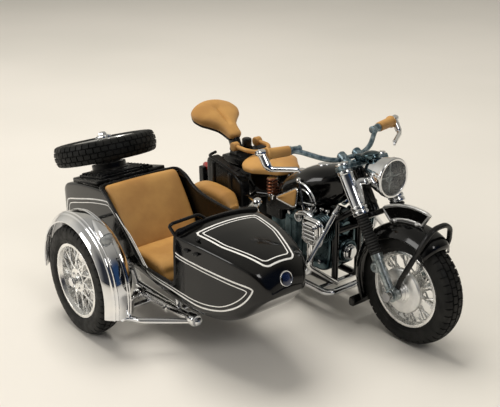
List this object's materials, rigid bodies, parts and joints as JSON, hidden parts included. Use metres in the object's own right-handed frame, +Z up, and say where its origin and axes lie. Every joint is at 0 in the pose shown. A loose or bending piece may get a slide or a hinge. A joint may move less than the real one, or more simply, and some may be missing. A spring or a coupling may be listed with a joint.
{
  "type": "toy sidecar motorcycle",
  "caption": "Die-cast toy motorcycle with a sidecar: steering fork, free-rolling wire wheels and a hinged trunk lid that carries a spare wheel.",
  "frame": {"origin": "middle of the whole model's footprint, on the floor that it stands on", "axes": "+X forward, +Y to the bike's left (the sidecar is on its right, towards -Y), +Z up"},
  "size_m": [0.2552, 0.1998, 0.1093],
  "materials": {
    "gloss_black": "gloss black enamel",
    "black_plastic": "satin black moulded plastic",
    "black_rubber": "ribbed satin black rubber",
    "tyre_rubber": "matt charcoal vinyl with block tread",
    "chrome": "bright plated",
    "smoky_chrome": "dark tinted plating",
    "teal_grey": "metallic grey lacquer",
    "silver_grey": "metallic silver grey",
    "wire_silver": "bright cast wire",
    "tan": "satin tan moulded like leather",
    "copper": "copper coloured coil",
    "clear_lens": "clear ribbed lens",
    "lamp_red": "translucent red"
  },
  "bodies": {
    "root": {"bike_frame": "gloss_black", "rear_axle": "chrome", "engine_block": "smoky_chrome", "engine_cylinders": "smoky_chrome", "cylinder_heads": "chrome", "exhaust_pipes": "chrome", "fuel_tank": "gloss_black", "knee_pads": "tan", "shift_gate": "chrome", "crash_bars": "chrome", "skid_rails": "chrome", "rider_saddle": "tan", "pillion_saddle": "tan", "pillion_base": "black_plastic", "saddle_springs": "copper", "grab_handle": "tan", "rear_fender": "gloss_black", "tail_lamp": "lamp_red", "panniers": "gloss_black", "side_bag": "tan", "sidecar_tub": "gloss_black", "sidecar_cowl": "gloss_black", "sidecar_tail": "gloss_black", "seat_back": "tan", "seat_cushion": "tan", "sidecar_fender": "chrome", "fender_lamp": "chrome", "sidecar_chassis": "chrome", "sidecar_axle_nut": "chrome", "upper_strut": "chrome", "cowl_rail": "gloss_black", "nose_badge": "chrome"},
    "fork": {"fork_lower_legs": "silver_grey", "fork_gaiters": "black_rubber", "fork_shrouds": "chrome", "fork_yokes": "teal_grey", "handlebar": "teal_grey", "handlebar_grips": "tan", "control_levers": "chrome", "headlamp_shell": "chrome", "headlamp_lens": "clear_lens", "instrument_pod": "teal_grey", "front_fender": "gloss_black", "front_number_plate": "gloss_black", "front_hoop": "black_plastic", "front_axle": "chrome", "front_brake_plate": "chrome"},
    "front_wheel": {"front_tyre": "tyre_rubber", "front_rim": "wire_silver"},
    "rear_wheel": {"rear_tyre": "tyre_rubber", "rear_rim": "wire_silver"},
    "sidecar_wheel": {"sidecar_tyre": "tyre_rubber", "sidecar_rim": "wire_silver"},
    "trunk_lid": {"trunk_lid": "gloss_black", "spare_mount": "black_plastic", "spare_tyre": "tyre_rubber", "spare_rim": "wire_silver"}
  },
  "joints": [
    {"name": "steering", "type": "hinge", "parent": "root", "child": "fork", "pos_m": [0.06748, 0.0443, 0.06378], "axis": [-0.5373, 0, 0.8434], "range_deg": [-28, 28]},
    {"name": "front_wheel_spin", "type": "hinge", "parent": "fork", "child": "front_wheel", "pos_m": [0.09461, 0.0443, 0.033], "axis": [0, 1, 0], "continuous": true},
    {"name": "rear_wheel_spin", "type": "hinge", "parent": "root", "child": "rear_wheel", "pos_m": [-0.05339, 0.0443, 0.033], "axis": [0, 1, 0], "continuous": true},
    {"name": "sidecar_wheel_spin", "type": "hinge", "parent": "root", "child": "sidecar_wheel", "pos_m": [-0.03439, -0.0913, 0.033], "axis": [0, 1, 0], "continuous": true},
    {"name": "trunk_lid_hinge", "type": "hinge", "parent": "root", "child": "trunk_lid", "pos_m": [-0.06239, -0.0377, 0.0766], "axis": [0, 1, 0], "range_deg": [0, 55]}
  ]
}
